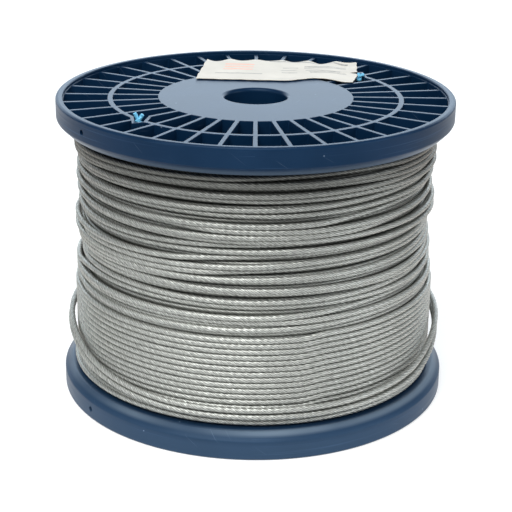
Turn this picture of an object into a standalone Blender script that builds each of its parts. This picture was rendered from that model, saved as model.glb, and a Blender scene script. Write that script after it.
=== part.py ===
"""A moulded plastic reel wound full with galvanised wire rope, with a paper label and two twine ties.

Units are metres and +Z is up. The reel stands on its lower flange with its axis on Z, and the origin
is on the floor under the bore. Angles around the reel are counted from -Y towards +X.
"""
from math import asin, cos, exp, pi, radians, sin, sqrt

import bmesh
import bpy
from mathutils import Matrix, Vector

# Running clearance that touching pieces keep between them
FIT = 0.0003

# Reel, made of two like halves that meet at half its height
REEL_H = 0.108
FLANGE_D = 0.140
FLANGE_H = 0.0097
PLATE_T = 0.0020
RIM_T = 0.0025
RIM_ROUND = 0.0009
RIM_CHAMFER = 0.0028
RIM_STEP = 0.0012
RIM_LEDGE = 0.0002
BARREL_D = 0.0687
BARREL_T = 0.0022
HUB_FACE_T = 0.0020
HUB_WEB_T = 0.0016
HUB_WEBS = 6
BORE_D = 0.0220
BORE_CHAMFER = 0.0013
SPINDLE_T = 0.0020
RIBS = 36
RIB_T = 0.0015
RING_D = 0.1022
RING_T = 0.0018
REEL_SEGMENTS = 72

# Hole through each rim, where a rope end can be pulled out
ROPE_HOLE_D = 0.0020
ROPE_HOLE_ANGLE = radians(-54)

# Cells where the ring and a rib part around a hole for a twine tie, one on each side of the bore.
# A corner is its distance along the ring and its distance out from the ring's middle line.
CELL_ANGLES = (radians(-50), radians(130))
CELL_CORNERS = ((-0.0036, -0.0004), (0.0036, 0.0040), (0.0049, 0.0004), (0.0008, -0.0044))
CELL_WALL = 0.0012
CELL_MOUTH = 0.0022
TIE_HOLE_D = 0.0024
TIE_HOLE_SPOT = (0.0004, -0.0004)

# Rope winding: one turned solid whose ridges are the turns of its outer layer
ROPE_D = 0.0020
WINDING_D = 0.1264
GROOVE_SHARE = 0.30
BELLY_RISE = 0.0016
BELLY_Z = 0.040
BELLY_W = 0.009
SLACK_RISE = 0.0026
SLACK_Z = 0.026
SLACK_W = 0.004
WINDING_SEGMENTS = 40

# Twine ties: a knot in its cell, with a stem down through the flange plate
TWINE_D = 0.0014
KNOT_D = 0.0023
KNOT_SINK = 0.0005
TWINE_SIDES = 8

# Paper label, stuck on the ribs behind the bore, with its far corner close to the rim
LABEL_W = 0.0600
LABEL_D = 0.0340
LABEL_T = 0.0002
LABEL_TURN = radians(-3)
LABEL_SIDE = 0.0082
LABEL_RIM_GAP = 0.0010
LABEL_TEAR_W = 0.0034
LABEL_TEAR_D = 0.0018
LABEL_CORNER = 0.0016

# Heights in a half's own frame, whose zero is the plane where the halves meet
HALF_H = REEL_H / 2
MATE_Z = FIT / 2
FLANGE_Z = HALF_H - FLANGE_H
PLATE_Z = FLANGE_Z + PLATE_T
RIB_Z = HALF_H - RIM_STEP
CUT_OVER = 0.001

RIM_R = FLANGE_D / 2
RIM_INNER_R = RIM_R - RIM_T
BARREL_R = BARREL_D / 2
BORE_R = BORE_D / 2
RING_R = RING_D / 2


def clear_scene():
    """Remove every object, so that the file starts from an empty scene."""
    for item in list(bpy.data.objects):
        bpy.data.objects.remove(item, do_unlink=True)


def material(name, colour, roughness, metallic=0.0):
    """Principled material with a plain colour given as linear red, green and blue."""
    made = bpy.data.materials.new(name)
    made.use_nodes = True
    shader = made.node_tree.nodes["Principled BSDF"]
    shader.inputs["Base Color"].default_value = (*colour, 1.0)
    shader.inputs["Roughness"].default_value = roughness
    shader.inputs["Metallic"].default_value = metallic
    return made


def add_object(name, mesh, place=None, finish=None, smooth_angle=radians(30)):
    """Link a mesh as a named object at a place, with its material and smooth shading."""
    item = bpy.data.objects.new(name, mesh)
    bpy.context.scene.collection.objects.link(item)
    if place is not None:
        item.matrix_world = place
    if finish is not None:
        mesh.materials.clear()
        mesh.materials.append(finish)
        mesh.shade_smooth()
        mesh.set_sharp_from_angle(angle=smooth_angle)
    return item


def mesh_of(name, bm):
    """Turn a bmesh into a mesh whose faces point outwards."""
    bmesh.ops.recalc_face_normals(bm, faces=bm.faces)
    mesh = bpy.data.meshes.new(name)
    bm.to_mesh(mesh)
    bm.free()
    return mesh


def add_turned(bm, profile, segments):
    """Spin a closed profile of radius and height pairs once around Z."""
    points = [bm.verts.new((r, 0, z)) for r, z in profile]
    sides = [bm.edges.new(pair) for pair in zip(points, points[1:] + points[:1])]
    bmesh.ops.spin(bm, geom=points + sides, cent=(0, 0, 0), axis=(0, 0, 1),
                   angle=2 * pi, steps=segments, use_merge=True)


def add_prism(bm, outline, low, high):
    """Raise a flat outline into a prism between two heights."""
    base = bm.faces.new([bm.verts.new((x, y, low)) for x, y in outline])
    raised = bmesh.ops.extrude_face_region(bm, geom=[base])["geom"]
    top = [v for v in raised if isinstance(v, bmesh.types.BMVert)]
    bmesh.ops.translate(bm, verts=top, vec=(0, 0, high - low))


def around(angle, radius, along=0.0):
    """Point at a radius and angle, moved along the circle by a straight distance."""
    return Vector((radius * sin(angle) + along * cos(angle), along * sin(angle) - radius * cos(angle)))


def add_sectors(bm, count, wall, r_in, r_out, low, high):
    """Prisms that fill the spaces between straight-sided radial walls, from one radius to another."""
    step = 2 * pi / count
    parts = max(2, round(REEL_SEGMENTS / count))
    for k in range(count):
        outline = []
        for radius, order in ((r_in, range(parts + 1)), (r_out, range(parts, -1, -1))):
            start = k * step + asin(wall / 2 / radius)
            sweep = step - 2 * asin(wall / 2 / radius)
            outline += [around(start + sweep * i / parts, radius) for i in order]
        add_prism(bm, outline, low, high)


def cutter(name, bm):
    """Object that only cuts others: it isn't rendered and shows as wire."""
    item = add_object(name, mesh_of(name, bm))
    item.hide_render = True
    item.display_type = 'WIRE'
    return item


def cut(target, tool):
    """Take a cutter's shape out of an object."""
    step = target.modifiers.new("cut by " + tool.name, 'BOOLEAN')
    step.operation = 'DIFFERENCE'
    step.solver = 'EXACT'
    step.object = tool


def half_profile():
    """Section of one reel half, from the bore up over the flange and down to the barrel."""
    turn = cos(pi / 4) * RIM_ROUND
    return [
        (BORE_R, MATE_Z),
        (BORE_R, RIB_Z - BORE_CHAMFER),
        (BORE_R + BORE_CHAMFER, RIB_Z),
        (RIM_INNER_R, RIB_Z),
        (RIM_INNER_R, HALF_H),
        (RIM_R - RIM_ROUND, HALF_H),
        (RIM_R - RIM_ROUND + turn, HALF_H - RIM_ROUND + turn),
        (RIM_R, HALF_H - RIM_ROUND),
        (RIM_R, FLANGE_Z + RIM_CHAMFER),
        (RIM_R - RIM_CHAMFER, FLANGE_Z),
        (BARREL_R, FLANGE_Z),
        (BARREL_R, MATE_Z),
    ]


def cell_outline(angle, inset, mouth):
    """Outline of a twine cell, set in or out from its walls' middle lines, with its mouth drawn out."""
    corners = [Vector(c) for c in CELL_CORNERS]
    middle = sum(corners, Vector((0, 0))) / len(corners)
    sides = list(zip(corners, corners[1:] + corners[:1]))
    lines = []
    for k, (a, b) in enumerate(sides):
        along = (b - a).normalized()
        out = Vector((-along.y, along.x))
        if out.dot(a - middle) < 0:
            out = -out
        shift = mouth if k == len(sides) - 1 else -inset
        lines.append((a + out * shift, along))
    outline = []
    for k in range(len(lines)):
        (p, d), (q, e) = lines[k - 1], lines[k]
        t = (q - p).cross(e) / d.cross(e)
        corner = p + d * t
        outline.append(around(angle, RING_R + corner.y, corner.x))
    return outline


def tie_spot(angle):
    """Middle of the twine hole in the cell at an angle."""
    return around(angle, RING_R + TIE_HOLE_SPOT[1], TIE_HOLE_SPOT[0])


def add_rod(bm, start, end, diameter, sides):
    """Closed round rod from one point to another."""
    start, end = Vector(start), Vector(end)
    lean = (end - start).to_track_quat('Z', 'Y').to_matrix().to_4x4()
    place = Matrix.Translation((start + end) / 2) @ lean
    bmesh.ops.create_cone(bm, cap_ends=True, segments=sides, radius1=diameter / 2,
                          radius2=diameter / 2, depth=(end - start).length, matrix=place)


def half_mesh():
    """Mesh of one reel half, with its pockets, hub cavities, twine cells and holes cut out."""
    bm = bmesh.new()
    add_turned(bm, half_profile(), REEL_SEGMENTS)
    body = add_object("half_blank", mesh_of("half_blank", bm))

    blocks = bmesh.new()
    cells = bmesh.new()
    holes = bmesh.new()
    for angle in CELL_ANGLES:
        add_prism(blocks, cell_outline(angle, -CELL_WALL / 2, 0), PLATE_Z - CUT_OVER, RIB_Z + 2 * CUT_OVER)
        add_prism(cells, cell_outline(angle, CELL_WALL / 2, CELL_MOUTH), PLATE_Z, RIB_Z + CUT_OVER)
        spot = tie_spot(angle).to_3d()
        add_rod(holes, spot + Vector((0, 0, FLANGE_Z - CUT_OVER)), spot + Vector((0, 0, PLATE_Z + CUT_OVER)),
                TIE_HOLE_D, 2 * TWINE_SIDES)
    hole_z = Vector((0, 0, (HALF_H - RIM_ROUND + FLANGE_Z + RIM_CHAMFER) / 2))
    inner = around(ROPE_HOLE_ANGLE, RIM_INNER_R - CUT_OVER).to_3d() + hole_z
    outer = around(ROPE_HOLE_ANGLE, RIM_R + CUT_OVER).to_3d() + hole_z
    add_rod(holes, inner, outer, ROPE_HOLE_D, 2 * TWINE_SIDES)

    pockets = bmesh.new()
    add_sectors(pockets, RIBS, RIB_T, BARREL_R, RING_R - RING_T / 2, PLATE_Z, RIB_Z + CUT_OVER)
    add_sectors(pockets, RIBS, RIB_T, RING_R + RING_T / 2, RIM_INNER_R - RIM_LEDGE, PLATE_Z, RIB_Z + CUT_OVER)
    pocket_tool = cutter("pocket_cutter", pockets)
    block_tool = cutter("cell_block_cutter", blocks)
    cut(pocket_tool, block_tool)

    cavities = bmesh.new()
    add_sectors(cavities, HUB_WEBS, HUB_WEB_T, BORE_R + SPINDLE_T, BARREL_R - BARREL_T,
                MATE_Z - CUT_OVER, RIB_Z - HUB_FACE_T)
    tools = [pocket_tool, cutter("hub_cutter", cavities), cutter("cell_cutter", cells),
             cutter("hole_cutter", holes)]
    for tool in tools:
        cut(body, tool)

    bpy.context.view_layer.update()
    evaluated = body.evaluated_get(bpy.context.evaluated_depsgraph_get())
    mesh = bpy.data.meshes.new_from_object(evaluated)
    mesh.name = "reel_half"
    for item in [body, block_tool] + tools:
        bpy.data.objects.remove(item, do_unlink=True)
    return mesh


def make_reel():
    """Two like halves: the lower one is the upper one turned over about the line through its rim hole."""
    plastic = material("blue_moulded_plastic", (0.012, 0.050, 0.168), 0.38)
    mesh = half_mesh()
    raised = Matrix.Translation((0, 0, HALF_H))
    flip_axis = around(ROPE_HOLE_ANGLE, 1.0).to_3d()
    add_object("reel_half_upper", mesh, raised, plastic)
    add_object("reel_half_lower", mesh, raised @ Matrix.Rotation(pi, 4, flip_axis), plastic)


def lay_radius(z):
    """Outer radius of the winding at a height above the floor: a belly, and slack turns low down."""
    belly = BELLY_RISE * exp(-((z - BELLY_Z) / BELLY_W) ** 2)
    slack = SLACK_RISE / (1 + exp((z - SLACK_Z) / SLACK_W))
    return WINDING_D / 2 + belly + slack


def make_winding():
    """The rope on the reel: a ridge for each turn of the outer layer, and a bore for the barrel."""
    low = FLANGE_H + FIT
    high = REEL_H - low
    turns = int((high - low) / ROPE_D)
    pitch = (high - low) / turns
    groove = GROOVE_SHARE * ROPE_D
    profile = [(BARREL_R + FIT, low), (lay_radius(low) - groove, low)]
    for k in range(turns):
        crest = low + (k + 0.5) * pitch
        valley = low + (k + 1) * pitch
        profile += [(lay_radius(crest), crest), (lay_radius(valley) - groove, valley)]
    profile.append((BARREL_R + FIT, high))
    bm = bmesh.new()
    add_turned(bm, profile, WINDING_SEGMENTS)
    zinc = material("galvanised_wire_rope", (0.46, 0.47, 0.45), 0.42, 0.85)
    add_object("wire_rope_winding", mesh_of("wire_rope_winding", bm), finish=zinc, smooth_angle=radians(20))


def make_tie(name, angle, sink, leans, finish):
    """Twine tie at a cell: a knot, cut ends that lean along the ring and outwards, and a stem."""
    top = HALF_H + RIB_Z
    spot = tie_spot(angle).to_3d()
    knot = spot + Vector((0, 0, top - sink))
    foot = spot + Vector((0, 0, HALF_H + FLANGE_Z + FIT))
    bm = bmesh.new()
    bmesh.ops.create_uvsphere(bm, u_segments=12, v_segments=8, radius=KNOT_D / 2,
                              matrix=Matrix.Translation(knot))
    parts = [bm]
    rods = [(foot, knot)]
    for along, outward in leans:
        reach = around(angle, RING_R + TIE_HOLE_SPOT[1] + outward, TIE_HOLE_SPOT[0] + along).to_3d()
        rods.append((knot, reach + Vector((0, 0, top + RIM_STEP - TWINE_D / 2))))
    for start, end in rods:
        rod = bmesh.new()
        add_rod(rod, start, end, TWINE_D, TWINE_SIDES)
        parts.append(rod)
    made = add_object(name, mesh_of(name, parts[0]), finish=finish, smooth_angle=radians(50))
    joined = []
    for k, rod in enumerate(parts[1:]):
        tool = cutter(f"{name}_rod_{k}", rod)
        cut(made, tool)
        made.modifiers[-1].operation = 'UNION'
        joined.append(tool)
    bpy.context.view_layer.update()
    solid = bpy.data.meshes.new_from_object(made.evaluated_get(bpy.context.evaluated_depsgraph_get()))
    made.modifiers.clear()
    made.data = solid
    for tool in joined:
        bpy.data.objects.remove(tool, do_unlink=True)


def make_ties():
    """The two ties: the left one shows both cut ends, the right one sits lower beside the label."""
    twine = material("turquoise_twine", (0.12, 0.42, 0.55), 0.8)
    make_tie("twine_tie_left", CELL_ANGLES[0], KNOT_SINK, ((-0.0007, -0.0003), (0.0011, 0.0002)), twine)
    make_tie("twine_tie_right", CELL_ANGLES[1], KNOT_SINK + KNOT_D / 2, ((-0.0008, 0.0004),), twine)


def make_label():
    """Thin sheet of paper with clipped corners and a tear in its right edge, lying on the ribs."""
    w, d, c = LABEL_W / 2, LABEL_D / 2, LABEL_CORNER
    outline = [(-w, -d), (w - c, -d), (w, c - d), (w, -LABEL_TEAR_D), (w - LABEL_TEAR_W, 0),
               (w, LABEL_TEAR_D), (w, d - c), (w - c, d), (c - w, d), (-w, d - c)]
    turn = Matrix.Rotation(LABEL_TURN, 2)
    corner = turn @ Vector((w, d))
    reach = RIM_INNER_R - LABEL_RIM_GAP
    middle = Vector((LABEL_SIDE, sqrt(reach ** 2 - (LABEL_SIDE + corner.x) ** 2) - corner.y))
    low = HALF_H + RIB_Z + FIT
    bm = bmesh.new()
    add_prism(bm, [middle + turn @ Vector(p) for p in outline], low, low + LABEL_T)
    paper = material("white_paper", (0.84, 0.83, 0.80), 0.7)
    add_object("paper_label", mesh_of("paper_label", bm), finish=paper)


def main():
    """Build the whole part."""
    clear_scene()
    make_reel()
    make_winding()
    make_ties()
    make_label()


main()
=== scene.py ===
"""Looks of a moulded plastic reel wound full with galvanised wire rope, with a paper label and two
twine ties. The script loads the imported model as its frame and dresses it: it draws the reel halves
with their fine edges, winds the rope turn by turn, and lays the label and the ties where the model
has them. Units are metres, +Z is up, and angles around the reel are counted from -Y towards +X.
"""
from functools import partial
from math import asin, atan2, cos, pi, radians, sin, sqrt

import bmesh
import bpy
import numpy as np
from bpy.props import FloatProperty, FloatVectorProperty, IntProperty, PointerProperty
from mathutils import Matrix, Vector


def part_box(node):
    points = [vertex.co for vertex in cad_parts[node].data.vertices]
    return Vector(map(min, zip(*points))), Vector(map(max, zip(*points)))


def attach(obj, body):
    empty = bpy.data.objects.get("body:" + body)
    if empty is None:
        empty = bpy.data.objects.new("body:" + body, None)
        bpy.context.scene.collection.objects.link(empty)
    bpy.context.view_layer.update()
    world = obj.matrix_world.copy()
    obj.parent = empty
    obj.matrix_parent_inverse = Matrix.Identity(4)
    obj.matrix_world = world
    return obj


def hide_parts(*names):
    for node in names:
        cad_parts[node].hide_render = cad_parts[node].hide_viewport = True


bl_info = {
    "name": "Reel of wire rope",
    "version": (1, 0, 0),
    "blender": (4, 5, 0),
    "location": "3D View > Sidebar > Rope reel",
    "description": "Dresses a plastic reel of galvanised wire rope around its packed model",
    "category": "Object",
}

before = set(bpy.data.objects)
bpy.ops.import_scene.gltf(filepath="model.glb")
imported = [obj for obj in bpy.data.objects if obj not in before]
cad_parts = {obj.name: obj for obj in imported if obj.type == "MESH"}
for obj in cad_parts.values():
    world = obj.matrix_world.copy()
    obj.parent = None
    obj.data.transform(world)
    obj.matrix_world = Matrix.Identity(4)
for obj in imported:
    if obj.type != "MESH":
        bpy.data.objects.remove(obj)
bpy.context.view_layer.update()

MM = 0.001

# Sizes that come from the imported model
REEL_LOW, REEL_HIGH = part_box("reel_half_upper")
WINDING_LOW, WINDING_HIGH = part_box("wire_rope_winding")
LABEL_LOW, LABEL_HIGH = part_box("paper_label")
FIT = 0.3 * MM
FLANGE_R = REEL_HIGH.x
REEL_H = REEL_HIGH.z
HALF_H = REEL_H / 2
FLANGE_H = WINDING_LOW.z - FIT

# Heights in a reel half's own frame, whose zero is the plane where the halves meet
MATE_Z = REEL_LOW.z - HALF_H
FLANGE_Z = HALF_H - FLANGE_H
PLATE_T = 2.0 * MM
PLATE_Z = FLANGE_Z + PLATE_T
RIM_STEP = 1.2 * MM
RIB_Z = HALF_H - RIM_STEP
CUT_OVER = 1.0 * MM

# Hub, seen from above only as its face and its bore
BARREL_R = 34.35 * MM
BARREL_T = 2.2 * MM
HUB_FACE_T = 2.0 * MM
HUB_WEBS = 6
HUB_WEB_T = 1.6 * MM
SPINDLE_T = 2.0 * MM

# Radius of the ring of painted highlight on the lower flange's face, beside the winding
SHEEN_RING_R = FLANGE_R - 2.0 * MM

# Hole through each rim, and the cells around the two twine ties
ROPE_HOLE_D = 2.0 * MM
ROPE_HOLE_ANGLE = radians(-54)
CELL_ANGLES = (radians(-50), radians(130))
CELL_CORNERS = ((-3.6, -0.4), (3.6, 4.0), (4.9, 0.4), (0.8, -4.4))
CELL_WALL = 1.2 * MM
CELL_MOUTH = 2.2 * MM
TIE_HOLE_D = 2.4 * MM
TIE_HOLE_SPOT = (0.4 * MM, -0.4 * MM)

# Fillet at a pocket's floor, and where the curves at the corners of pockets and hub cavities start
POCKET_FILLET = 0.6 * MM
POCKET_CUT = 0.45 * MM
HUB_CUT = 1.0 * MM

# Rope layers, as distances of a rope's middle from the reel's axis
STEPS_A_TURN = 336
NEAT_RADIUS = 64.0 * MM
UPPER_RADIUS = 61.3 * MM
UNDER_RADIUS = 60.5 * MM
CORE_RADIUS = 59.6 * MM
NEAT_CORE_RADIUS = 62.6 * MM
MOST_RADIUS = 63.4 * MM

# First neat turn's middle, top of the neat turns, and the height over which the winding narrows there
NEAT_FOOT = 12.72 * MM
NEAT_TOP = 42.0 * MM
NARROWING = 9.0 * MM

# How deep the ends of the wound turns and of the loose ones dive under other turns
TUCK = 2.4 * MM
SLACK_TUCK = 2.6 * MM

# Wires drawn around the rope, and how many of them are crossed in a metre along it
WIRES_AROUND = 8
WIRE_SLANT = -1 / (2.9 * MM)

# Heights over which the turns are painted darker, as painted shade under the top flange, and heights over
# which a deeper painted shadow then darkens them
SHADE_FADE_HEIGHTS = (52 * MM, 90 * MM)
SHADOW_BAND_HEIGHTS = (85 * MM, 95 * MM)

# Wander of the upper turns: size in millimetres, waves in a turn, and where the wave starts
UPPER_WAVES = ((0.40, 1.13, 0.4), (0.36, 0.93, 2.1), (0.34, 1.47, 1.2), (0.26, 2.09, 0.3),
               (0.18, 2.93, 2.6), (0.10, 5.05, 0.9))

# Loose turns at the foot, as heights and radii in millimetres at a few angles in degrees
SLACK_TURNS = (
    (((-180, 11.4), (-90, 11.6), (-40, 11.8), (0, 11.5), (60, 11.2), (120, 11.3)),
     ((-180, 64.2), (-90, 65.2), (-40, 65.0), (0, 64.4), (60, 64.2), (120, 64.2))),
    (((-180, 28.5), (-120, 28.0), (-95, 26.0), (-76, 23.6), (-61, 19.2), (-45, 16.2), (-25, 14.4),
      (0, 14.1), (25, 14.3), (48, 15.1), (62, 16.8), (76, 21.0), (95, 26.0), (130, 28.5)),
     ((-180, 66.4), (-95, 67.4), (-60, 66.8), (-25, 66.2), (0, 65.9), (48, 67.1), (80, 67.3), (130, 66.4))),
    (((-180, 31.0), (-120, 30.5), (-95, 28.4), (-76, 25.8), (-61, 21.3), (-45, 18.3), (-25, 16.6),
      (0, 16.4), (25, 16.8), (40, 17.5), (56, 19.3), (67, 23.2), (80, 27.4), (100, 29.8), (130, 31.0)),
     ((-180, 66.4), (-95, 67.0), (-60, 66.4), (-25, 66.0), (0, 65.9), (48, 67.1), (80, 67.4), (130, 66.4))),
)

# Label before it was torn, and its turn on the flange
LABEL_W = 60.0 * MM
LABEL_D = 34.0 * MM
LABEL_TURN = radians(-3)

# Print on the label: left, right, low and high in shares of its width and depth, the number of ruled
# lines in the box, how strong they are, and their ink. The accent ink is for three wide stripes
LABEL_PRINT = (
    (0.14, 0.33, 0.45, 0.80, 3, 0.75, "accent"),
    (0.10, 0.40, 0.24, 0.34, 1, 0.45, "print"),
    (0.42, 0.94, 0.86, 0.97, 1, 0.75, "print"),
    (0.52, 0.62, 0.30, 0.66, 3, 0.35, "print"),
    (0.66, 0.93, 0.56, 0.70, 2, 0.80, "print"),
    (0.70, 0.93, 0.30, 0.48, 3, 0.65, "print"),
)

# Ties: routes of the stem and of the knot with its two cut ends, in millimetres along the ring,
# outwards and up from the ribs' tops
TIE_STEM = ((0, 0, -8.2), (0, 0, -4), (0, 0, -1.4))
TIES = (
    ("turquoise_twine_knot_left", "twine_tie_left", CELL_ANGLES[0],
     (TIE_STEM,
      ((-1.0, 0.9, 1.9), (-0.7, 0.6, 1.0), (-0.1, 0.2, -0.2), (0.6, 0.3, -1.1), (0.3, -0.7, -1.5),
       (-0.7, -0.3, -1.4), (-0.4, 0.6, -0.9), (0.5, 0.3, -0.3), (0.7, -0.6, 0.8), (1.0, -0.9, 1.5)))),
    ("turquoise_twine_knot_right", "twine_tie_right", CELL_ANGLES[1],
     (TIE_STEM,
      ((0.9, 0.6, 0.5), (0.6, 0.4, 0.0), (0.1, 0.2, -0.7), (-0.5, 0.3, -1.3), (-0.3, -0.6, -1.6),
       (0.6, -0.3, -1.4), (0.4, 0.5, -0.9), (-0.5, 0.2, -0.4), (-1.0, 0.4, 0.2), (-1.7, 0.8, 0.5)))),
)

# Plies of the twine, and the length in which one goes once around
TWINE_PLIES = 3
TWINE_LAY = 5.0 * MM

# Camera's place and turn, and a hair of room between the floor and the reel
CAMERA_PLACE = Vector((0, -0.4804, 0.2273))
CAMERA_YAW = 0.0016
FLOOR_GAP = 0.02 * MM

# Soft boxes: place, width and height, the setting that holds their power, and their tint
STUDIO_LIGHTS = (
    ("key_light", (-0.2, -0.6, 1.0), (1.0, 1.0), "key_power", (1.0, 1.0, 0.98)),
    ("left_light", (-1.1, -0.4, 0.45), (0.7, 0.7), "left_power", (0.94, 0.98, 1.0)),
    ("right_light", (1.1, -0.4, 0.45), (0.7, 0.7), "right_power", (0.94, 0.98, 1.0)),
    ("back_light", (0.0, 1.4, 0.6), (3.2, 0.9), "back_power", (0.71, 0.86, 1.0)),
)


def linear(text):
    """Linear colour with full alpha from an sRGB hex string."""
    parts = [int(text[k:k + 2], 16) / 255 for k in (1, 3, 5)]
    return tuple(c / 12.92 if c <= 0.04045 else ((c + 0.055) / 1.055) ** 2.4 for c in parts) + (1.0,)


def shaded(colour, share, more=0.0):
    """Colour made darker or paler, with full alpha."""
    return [min(1.0, c * share + more) for c in colour[:3]] + [1.0]


def smooth_step(value, low, high):
    """Ease from 0 to 1 as the value goes from low to high, for numbers and arrays."""
    t = np.clip((value - low) / (high - low), 0, 1)
    return t * t * (3 - 2 * t)


def around(angle, radius, along=0.0):
    """Point at a radius and angle, moved along the circle by a straight distance."""
    return Vector((radius * sin(angle) + along * cos(angle), along * sin(angle) - radius * cos(angle)))


def span(name, millimetres, description):
    """Setting for a length."""
    return FloatProperty(name=name, description=description, default=millimetres * MM, unit='LENGTH')


def paint(name, text, description):
    """Setting for a colour, from sRGB hex."""
    return FloatVectorProperty(name=name, description=description, size=4, subtype='COLOR',
                               default=linear(text))


def tally(name, default, description):
    """Setting for a number of things."""
    return IntProperty(name=name, description=description, default=default)


def number(name, default, description, subtype='NONE'):
    """Setting for a factor, an angle or a power."""
    return FloatProperty(name=name, description=description, default=default, subtype=subtype)


class ReelSettings(bpy.types.PropertyGroup):
    """Sizes and colour of the plastic reel."""
    ribs: tally("Ribs", 36, "Radial ribs on a flange's outer side")
    rib_thickness: span("Rib thickness", 1.5, "Wall of a rib at its top")
    ring_radius: span("Ring radius", 51.1, "Middle line of the ring across the ribs")
    ring_thickness: span("Ring thickness", 1.8, "Wall of that ring")
    rim_thickness: span("Rim thickness", 2.5, "Wall of the flange's rim")
    rim_rounding: span("Rim rounding", 0.9, "Radius of the rim's outer edge")
    rim_chamfer: span("Rim chamfer", 2.8, "Slope on the rim towards the rope")
    bore_radius: span("Bore radius", 11.0, "Hole for a spindle")
    bore_rounding: span("Bore rounding", 1.3, "Radius of the bore's mouth")
    edge_rounding: span("Edge rounding", 0.18, "Radius of the ribs' top edges")
    draft: span("Draft", 0.15, "Thickening of a rib's side from its top to its foot")
    segments: tally("Segments", 288, "Sides of the round shapes")
    colour: paint("Plastic", "#08243F", "Colour of the moulded plastic")


class RopeSettings(bpy.types.PropertyGroup):
    """Sizes and colour of the wire rope and its winding."""
    diameter: span("Diameter", 2.0, "Outer diameter of the rope")
    lay: span("Lay", 14.0, "Length in which a strand goes once around the rope")
    strands: tally("Strands", 6, "Strands around the rope's core")
    pitch: span("Pitch", 2.012, "Rise of one neat turn")
    neat_turns: tally("Neat turns", 15, "Even turns in the lower part")
    upper_turns: tally("Upper turns", 25, "Uneven turns above them")
    under_turns: tally("Under turns", 27, "Turns of the layer below those")
    unevenness: number("Unevenness", 1.0, "How far the upper turns wander", 'FACTOR')
    colour: paint("Zinc", "#C5C8C4", "Colour of the galvanised wires")


class LabelSettings(bpy.types.PropertyGroup):
    """Colours and shape of the paper label."""
    sag: span("Sag", 1.2, "How far the paper dips between ribs at its far edge")
    colour: paint("Paper", "#D1CDC5", "Colour of the paper")
    print_colour: paint("Print", "#5B5F66", "Colour of the ruled lines")
    accent_colour: paint("Accent", "#E9A58F", "Colour of the wide stripes")


class TwineSettings(bpy.types.PropertyGroup):
    """Size and colour of the twine ties."""
    diameter: span("Diameter", 1.3, "Diameter of the twine")
    colour: paint("Twine", "#4FA3CC", "Colour of the twine")


class StudioSettings(bpy.types.PropertyGroup):
    """Camera distance, floor and lights."""
    lens: number("Lens", 98.2, "Focal length in millimetres on a 36 mm sensor")
    pitch: number("Pitch", 0.36, "How far the camera looks down", 'ANGLE')
    roll: number("Roll", 0.0125, "How far the camera leans", 'ANGLE')
    floor_radius: span("Floor radius", 3000.0, "Size of the pale floor")
    key_power: number("Key light", 17.0, "Power of the large top light", 'POWER')
    left_power: number("Left light", 1.8, "Power of the light on the left", 'POWER')
    right_power: number("Right light", 4.4, "Power of the light on the right", 'POWER')
    back_power: number("Back light", 27.0, "Power of the panel behind the reel", 'POWER')
    surround: number("Surround", 0.2, "Brightness of the white surroundings")
    floor_glow: number("Floor glow", 0.5, "Light from under the translucent floor")
    floor_colour: paint("Floor", "#CBCBCB", "Colour of the floor")


def feed(tree, made, inputs):
    """Give each named or numbered input of a node its value, or a link from the socket that feeds it."""
    for key, value in inputs.items() if isinstance(inputs, dict) else enumerate(inputs):
        if isinstance(value, bpy.types.NodeSocket):
            tree.links.new(value, made.inputs[key])
        else:
            made.inputs[key].default_value = value


def node(tree, kind, inputs=(), out=0, **settings):
    """Add one node, set its properties, feed its inputs, and return one of its outputs. Inputs without
    names go in the sockets' order, for MapRange value, from low, from high, to low and to high."""
    made = tree.nodes.new("ShaderNode" + kind)
    for name, value in settings.items():
        setattr(made, name, value)
    feed(tree, made, inputs)
    return made.outputs[out]


def new_material(name):
    """Material with no more than its shader, and what adds a node to it and what feeds the shader."""
    made = bpy.data.materials.new(name)
    made.use_nodes = True
    tree = made.node_tree
    return made, partial(node, tree), partial(feed, tree, tree.nodes["Principled BSDF"])


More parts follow.
